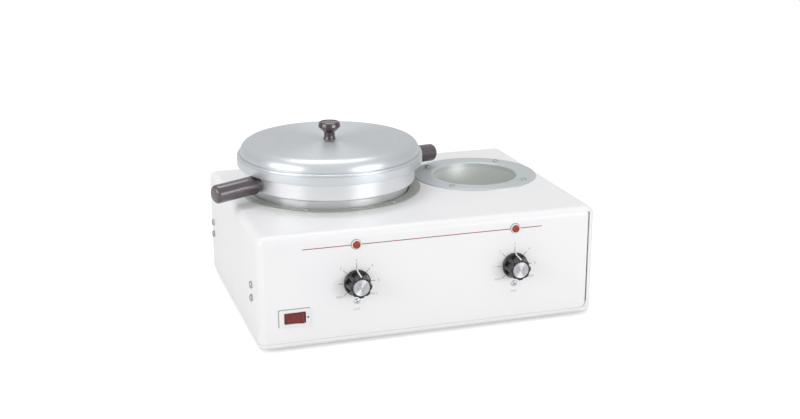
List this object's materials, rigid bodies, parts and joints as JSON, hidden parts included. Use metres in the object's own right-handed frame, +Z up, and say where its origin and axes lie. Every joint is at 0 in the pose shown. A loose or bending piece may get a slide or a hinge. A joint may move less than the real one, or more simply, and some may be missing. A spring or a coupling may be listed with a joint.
{
  "type": "double wax warmer",
  "caption": "White sheet-steel wax warmer with a lidded lift-out pot in one heated well, an open well for a tin, dial knobs, lamps and a rocker switch.",
  "frame": {"origin": "under the middle of the whole warmer, handles and knobs included, on the plane that its feet stand on", "axes": "+Z up; -Y is the front with the dials and the switch; +X is to the right seen from the front"},
  "size_m": [0.3756, 0.2816, 0.1886],
  "materials": {
    "white_enamel": "smooth white powder coat",
    "plated_steel": "zinc plated, satin",
    "well_aluminium": "spun, satin",
    "pot_aluminium": "spun, polished",
    "lid_aluminium": "spun, satin top, polished edge",
    "foot_rubber": "matt black",
    "heater_steel": "bare, heat tinted",
    "mineral_wool": "loose fibre",
    "thermostat_ceramic": "unglazed",
    "capillary_copper": "bare copper",
    "black_phenolic": "moulded, fine texture",
    "cap_aluminium": "spun face",
    "brown_phenolic": "moulded, glossy dark brown",
    "white_plastic": "moulded, glossy",
    "red_lens": "clear red, moulded",
    "red_rocker": "clear red, moulded",
    "terminal_brass": "bare",
    "terminal_plastic": "moulded",
    "wire_sleeve": "silicone sleeve",
    "bushing_nylon": "moulded nylon"
  },
  "bodies": {
    "housing": {"hood": "white_enamel", "base_tray": "white_enamel", "corner_brackets": "plated_steel", "side_screws": "plated_steel", "rubber_feet": "foot_rubber", "foot_screws": "plated_steel", "left_well": "well_aluminium", "right_well": "well_aluminium", "left_well_screws": "plated_steel", "right_well_screws": "plated_steel", "left_heater_band": "heater_steel", "right_heater_band": "heater_steel", "heater_clamp_bolts": "plated_steel", "left_insulation": "mineral_wool", "right_insulation": "mineral_wool", "heat_shield": "plated_steel", "shield_screws": "plated_steel", "left_thermostat": "thermostat_ceramic", "right_thermostat": "thermostat_ceramic", "left_sensor": "capillary_copper", "right_sensor": "capillary_copper", "sensor_clips": "plated_steel", "dial_screws": "plated_steel", "left_lamp_body": "white_plastic", "right_lamp_body": "white_plastic", "left_lamp_lens": "red_lens", "right_lamp_lens": "red_lens", "switch_case": "white_plastic", "switch_terminals": "terminal_brass", "terminal_block": "terminal_plastic", "terminal_screws": "terminal_brass", "wiring": "wire_sleeve", "cord_bushing": "bushing_nylon"},
    "left_dial": {"left_dial_knob": "black_phenolic", "left_knob_cap": "cap_aluminium", "left_spindle": "plated_steel"},
    "right_dial": {"right_dial_knob": "black_phenolic", "right_knob_cap": "cap_aluminium", "right_spindle": "plated_steel"},
    "rocker": {"switch_rocker": "red_rocker"},
    "pot": {"pot": "pot_aluminium", "left_handle": "brown_phenolic", "right_handle": "brown_phenolic", "handle_studs": "plated_steel", "handle_ferrules": "plated_steel"},
    "lid": {"lid": "lid_aluminium", "lid_knob": "brown_phenolic", "lid_screw": "plated_steel"}
  },
  "joints": [
    {"name": "left_knob_turn", "type": "hinge", "parent": "housing", "child": "left_dial", "pos_m": [-0.06756, -0.1237, 0.064], "axis": [0, 1, 0], "range_deg": [-180, 135]},
    {"name": "right_knob_turn", "type": "hinge", "parent": "housing", "child": "right_dial", "pos_m": [0.09734, -0.1237, 0.064], "axis": [0, 1, 0], "range_deg": [-180, 135]},
    {"name": "rocker_tilt", "type": "hinge", "parent": "housing", "child": "rocker", "pos_m": [-0.12986, -0.1197, 0.0347], "axis": [0, 0, 1], "range_deg": [0, 18]},
    {"name": "pot_lift", "type": "slide", "parent": "housing", "child": "pot", "axis": [0, 0, 1], "range_m": [0, 0.08]},
    {"name": "lid_lift", "type": "slide", "parent": "pot", "child": "lid", "axis": [0, 0, 1], "range_m": [0, 0.05]}
  ]
}
